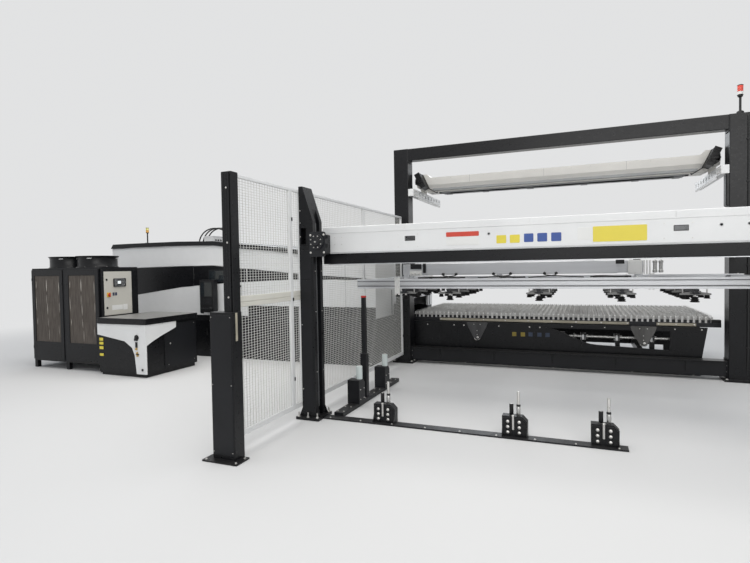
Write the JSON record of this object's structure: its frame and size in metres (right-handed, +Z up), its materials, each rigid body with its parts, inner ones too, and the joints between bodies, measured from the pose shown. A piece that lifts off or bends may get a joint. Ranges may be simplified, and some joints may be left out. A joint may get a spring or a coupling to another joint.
{
  "type": "fiber laser cutting machine",
  "caption": "Fiber laser sheet cutter with a long cabin, exchange table, loading tower with lift carriage and suction frame, chiller, laser source unit and mesh fence.",
  "frame": {"origin": "middle of the footprint, on the floor", "axes": "+X along the plant from the cabin to the tower, +Y from the loading front to the back, +Z up"},
  "size_m": [11.906, 8.1212, 4.3133],
  "materials": {
    "black_paint": "semi-gloss black paint",
    "white_paint": "semi-gloss white paint",
    "grey_paint": "satin grey paint",
    "dark_steel": "blackened steel",
    "bare_steel": "ground steel",
    "aluminium": "anodised, slightly matt",
    "black_rubber": "matt",
    "white_nylon": "matt",
    "red_lamp": "clear red cap",
    "yellow_lamp": "clear yellow cap",
    "door_grey": "satin light grey paint",
    "switch_yellow": "satin",
    "slat_steel": "cut sheet edges with spatter"
  },
  "bodies": {
    "plant": {"front_left_column": "black_paint", "front_right_column": "black_paint", "rear_left_column": "black_paint", "rear_right_column": "black_paint", "portal_top_beam": "black_paint", "portal_floor_beam": "dark_steel", "gantry_rail_left": "white_paint", "gantry_rail_right": "white_paint", "tower_beacon": "red_lamp", "platform_base": "black_paint", "lift_plate_left": "grey_paint", "lift_plate_right": "grey_paint", "cabin_base": "black_paint", "cabin_shell": "white_paint", "cabin_roof_cap": "black_paint", "roof_cable": "black_rubber", "cabin_upper_band": "white_paint", "cabin_dark_band": "black_paint", "cabin_lower_panel": "white_paint", "cabin_beacon": "yellow_lamp", "chiller_cabinet": "black_paint", "fan_cowl": "black_paint", "source_cabinet": "black_paint", "source_cover": "white_paint", "fence_post": "black_paint", "fence_panel_front": "white_paint", "fence_panel_rear": "white_paint", "floor_guide_front": "black_paint", "floor_guide_side": "black_paint"},
    "carriage": {"carriage_front_girder": "white_paint", "carriage_lower_beam": "black_paint", "carriage_frame": "black_paint", "lift_bracket_left": "dark_steel", "lift_bracket_right": "dark_steel"},
    "traverse": {"traverse_bridge": "grey_paint"},
    "suction": {"suction_frame": "aluminium", "vacuum_reservoir": "aluminium", "suction_arm_1": "black_rubber", "suction_arm_2": "black_rubber", "suction_arm_3": "black_rubber", "suction_arm_4": "black_rubber", "suction_arm_5": "black_rubber"},
    "gantry": {"gantry_beam": "white_paint", "energy_chain_left": "black_rubber", "energy_chain_right": "black_rubber"},
    "table": {"exchange_table": "slat_steel"},
    "shaft": {"drive_shaft": "bare_steel"},
    "left_filter_door": {"filter_door_left": "black_paint"},
    "right_filter_door": {"filter_door_right": "black_paint"},
    "control_leaf": {"control_door": "door_grey"},
    "switch": {"rotary_switch": "switch_yellow"},
    "left_fan": {"fan_left": "dark_steel"},
    "right_fan": {"fan_right": "dark_steel"},
    "sliding_door": {"cabin_door": "white_paint"},
    "panel": {"operator_panel": "black_paint"},
    "bridge": {"cutting_bridge": "grey_paint"},
    "cross_slide": {"head_carriage": "dark_steel"},
    "head": {"cutting_head": "aluminium"},
    "front_roller": {"guide_roller_front": "white_nylon"},
    "rear_roller": {"guide_roller_rear": "white_nylon"}
  },
  "joints": [
    {"name": "carriage_lift", "type": "slide", "parent": "plant", "child": "carriage", "axis": [0, 0, 1], "range_m": [-0.65, 0.15]},
    {"name": "traverse", "type": "slide", "parent": "carriage", "child": "traverse", "axis": [0, 1, 0], "range_m": [-0.2, 0.35]},
    {"name": "suction_lift", "type": "slide", "parent": "traverse", "child": "suction", "axis": [0, 0, 1], "range_m": [-0.25, 0]},
    {"name": "gantry_travel", "type": "slide", "parent": "plant", "child": "gantry", "axis": [0, 1, 0], "range_m": [0, 0.5]},
    {"name": "table_exchange", "type": "slide", "parent": "plant", "child": "table", "axis": [1, 0, 0], "range_m": [-5.6, 0]},
    {"name": "shaft_spin", "type": "hinge", "parent": "plant", "child": "shaft", "pos_m": [4.2265, 1.51065, 0.53], "axis": [1, 0, 0], "continuous": true},
    {"name": "filter_door_left_swing", "type": "hinge", "parent": "plant", "child": "left_filter_door", "pos_m": [-5.811, -1.41135, 0.16], "axis": [0, 0, 1], "range_deg": [-100, 0]},
    {"name": "filter_door_right_swing", "type": "hinge", "parent": "plant", "child": "right_filter_door", "pos_m": [-4.104, -1.41135, 0.16], "axis": [0, 0, 1], "range_deg": [0, 100]},
    {"name": "control_door_swing", "type": "hinge", "parent": "plant", "child": "control_leaf", "pos_m": [-4.074, -0.73235, 0.985], "axis": [0, 0, 1], "range_deg": [0, 110]},
    {"name": "switch_turn", "type": "hinge", "parent": "control_leaf", "child": "switch", "pos_m": [-4.0737, -1.22435, 1.345], "axis": [1, 0, 0], "range_deg": [0, 90]},
    {"name": "fan_left_spin", "type": "hinge", "parent": "plant", "child": "left_fan", "pos_m": [-5.316, -0.99935, 1.8313], "axis": [0, 0, 1], "continuous": true},
    {"name": "fan_right_spin", "type": "hinge", "parent": "plant", "child": "right_fan", "pos_m": [-4.596, -0.99935, 1.8313], "axis": [0, 0, 1], "continuous": true},
    {"name": "cabin_door_slide", "type": "slide", "parent": "plant", "child": "sliding_door", "axis": [1, 0, 0], "range_m": [-1.2, 0]},
    {"name": "panel_swing", "type": "hinge", "parent": "plant", "child": "panel", "pos_m": [-3.041, 0.34065, 0.92], "axis": [0, 0, 1], "range_deg": [0, 60]},
    {"name": "bridge_travel", "type": "slide", "parent": "plant", "child": "bridge", "axis": [1, 0, 0], "range_m": [-1.1, 4.1]},
    {"name": "head_travel", "type": "slide", "parent": "bridge", "child": "cross_slide", "axis": [0, 1, 0], "range_m": [-0.7, 1.25]},
    {"name": "head_lift", "type": "slide", "parent": "cross_slide", "child": "head", "axis": [0, 0, 1], "range_m": [-0.1, 0.05]},
    {"name": "roller_front_spin", "type": "hinge", "parent": "plant", "child": "front_roller", "pos_m": [1.029, -1.88935, 0.3403], "axis": [0, 0, 1], "continuous": true},
    {"name": "roller_rear_spin", "type": "hinge", "parent": "plant", "child": "rear_roller", "pos_m": [1.029, -0.98935, 0.3403], "axis": [0, 0, 1], "continuous": true}
  ]
}
